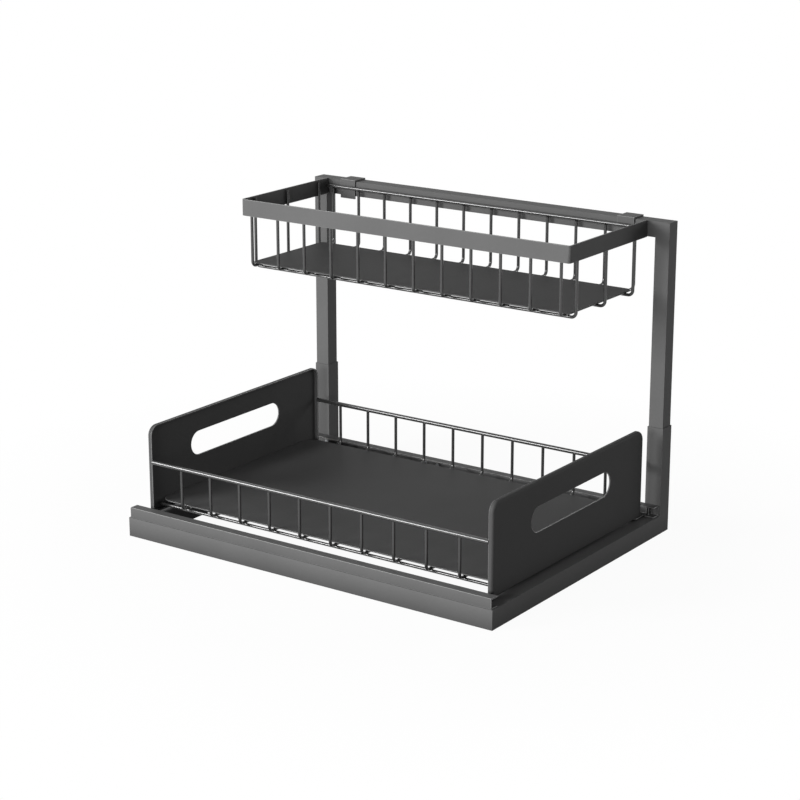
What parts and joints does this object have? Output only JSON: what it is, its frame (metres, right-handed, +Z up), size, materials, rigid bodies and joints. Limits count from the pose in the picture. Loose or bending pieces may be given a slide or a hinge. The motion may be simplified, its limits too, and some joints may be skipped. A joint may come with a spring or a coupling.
{
  "type": "under sink organizer",
  "caption": "Under sink organizer: a pull-out lower basket with slotted end panels on a low base ring, and a wire upper basket hooked on a rear post frame.",
  "frame": {"origin": "on the floor plane, under the middle of the whole organizer's bounding box, baskets at rest", "axes": "+Z up, -Y the open front side, the post frame stands at +Y, the lower basket pulls out along +X"},
  "size_m": [0.415, 0.3148, 0.3065],
  "materials": {
    "gunmetal_coated_steel": "satin dark grey powder coat",
    "black_coated_sheet": "matte black powder coat",
    "coated_wire": "semi-gloss black coating",
    "glide_nylon": "natural nylon",
    "rivet_steel": "zinc plated"
  },
  "bodies": {
    "base": {"front_rail": "gunmetal_coated_steel", "rear_rail": "gunmetal_coated_steel", "left_rail": "gunmetal_coated_steel", "right_rail": "gunmetal_coated_steel", "front_slide_channel": "gunmetal_coated_steel", "rear_slide_channel": "gunmetal_coated_steel", "left_post_socket": "gunmetal_coated_steel", "right_post_socket": "gunmetal_coated_steel", "left_post": "gunmetal_coated_steel", "right_post": "gunmetal_coated_steel", "crossbar": "gunmetal_coated_steel"},
    "lower_basket": {"left_end_panel": "black_coated_sheet", "right_end_panel": "black_coated_sheet", "front_carrier": "gunmetal_coated_steel", "rear_carrier": "gunmetal_coated_steel", "front_left_shoe": "glide_nylon", "front_right_shoe": "glide_nylon", "rear_left_shoe": "glide_nylon", "rear_right_shoe": "glide_nylon", "shoe_rivets": "rivet_steel", "front_rail_wire": "coated_wire", "rear_rail_wire": "coated_wire", "lower_tray": "black_coated_sheet", "lower_bent_wire_1": "coated_wire", "lower_bent_wire_2": "coated_wire", "lower_bent_wire_3": "coated_wire", "lower_bent_wire_4": "coated_wire", "lower_bent_wire_5": "coated_wire", "lower_bent_wire_6": "coated_wire", "lower_bent_wire_7": "coated_wire", "lower_bent_wire_8": "coated_wire", "lower_bent_wire_9": "coated_wire", "lower_bent_wire_10": "coated_wire", "lower_long_wire_1": "coated_wire", "lower_long_wire_2": "coated_wire", "lower_long_wire_3": "coated_wire"},
    "upper_basket": {"upper_band": "gunmetal_coated_steel", "left_hook": "gunmetal_coated_steel", "right_hook": "gunmetal_coated_steel", "upper_back_wire": "coated_wire", "upper_tray": "black_coated_sheet", "upper_bent_wire_1": "coated_wire", "upper_bent_wire_2": "coated_wire", "upper_bent_wire_3": "coated_wire", "upper_bent_wire_4": "coated_wire", "upper_bent_wire_5": "coated_wire", "upper_bent_wire_6": "coated_wire", "upper_bent_wire_7": "coated_wire", "upper_bent_wire_8": "coated_wire", "upper_bent_wire_9": "coated_wire", "upper_bent_wire_10": "coated_wire", "upper_bent_wire_11": "coated_wire", "upper_bent_wire_12": "coated_wire", "upper_long_wire_1": "coated_wire", "upper_long_wire_2": "coated_wire", "upper_long_wire_3": "coated_wire"}
  },
  "joints": [
    {"name": "lower_basket_slide", "type": "slide", "parent": "base", "child": "lower_basket", "axis": [1, 0, 0], "range_m": [0, 0.236]},
    {"name": "upper_basket_lift", "type": "slide", "parent": "base", "child": "upper_basket", "axis": [0, 0, 1], "range_m": [0, 0.03]}
  ]
}
